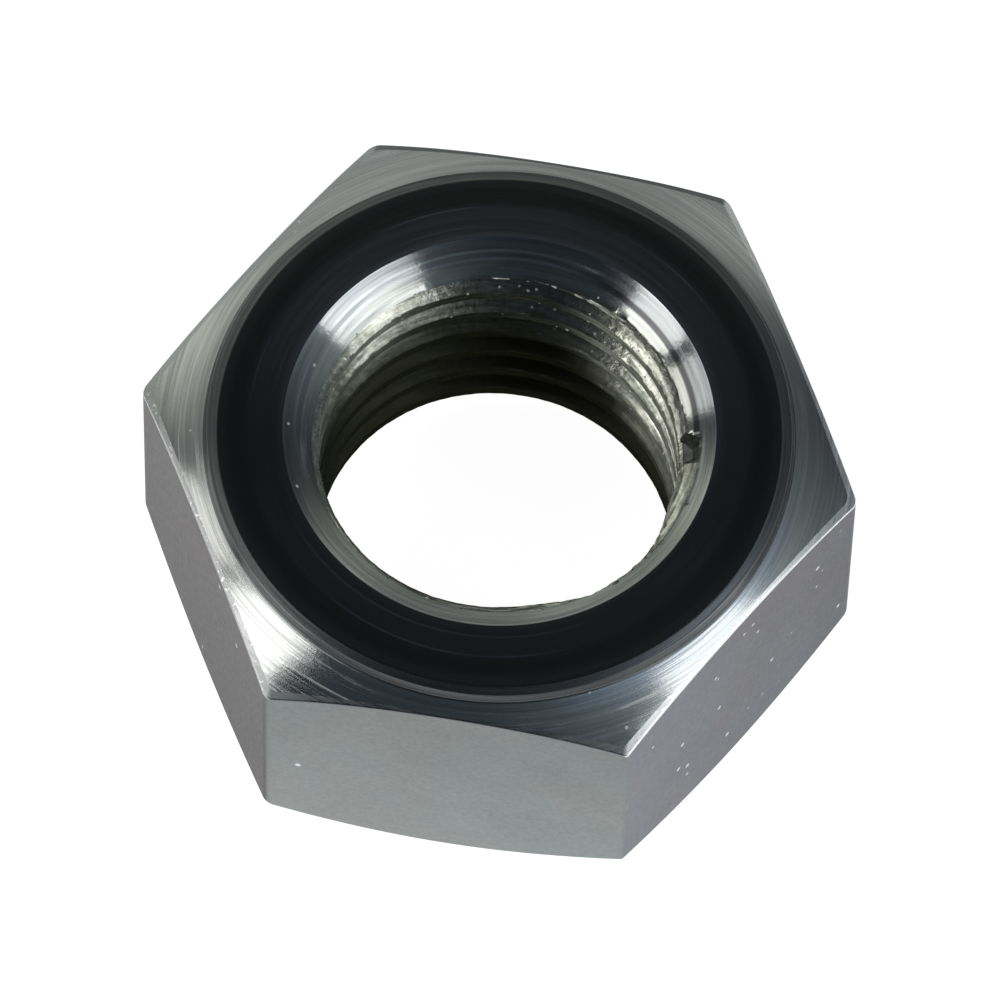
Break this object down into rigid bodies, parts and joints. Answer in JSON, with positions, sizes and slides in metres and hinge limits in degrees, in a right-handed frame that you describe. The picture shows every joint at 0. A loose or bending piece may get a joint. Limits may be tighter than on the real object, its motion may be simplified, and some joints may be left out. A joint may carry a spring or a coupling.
{
  "type": "hex nut",
  "caption": "Hexagon nut with a raised round washer face, a chamfer at each end and a countersunk threaded hole right through.",
  "frame": {"origin": "centre of the plain end, on the thread axis", "axes": "+Z along the thread axis, from the plain end to the washer face; +X through a corner of the hexagon, +Y square to a flat"},
  "size_m": [0.0252, 0.022, 0.011],
  "materials": {
    "zinc_plate": "bright zinc plate on turned steel: satin flats, bright turned chamfers"
  },
  "bodies": {
    "root": {"nut_body": "zinc_plate"}
  },
  "joints": []
}
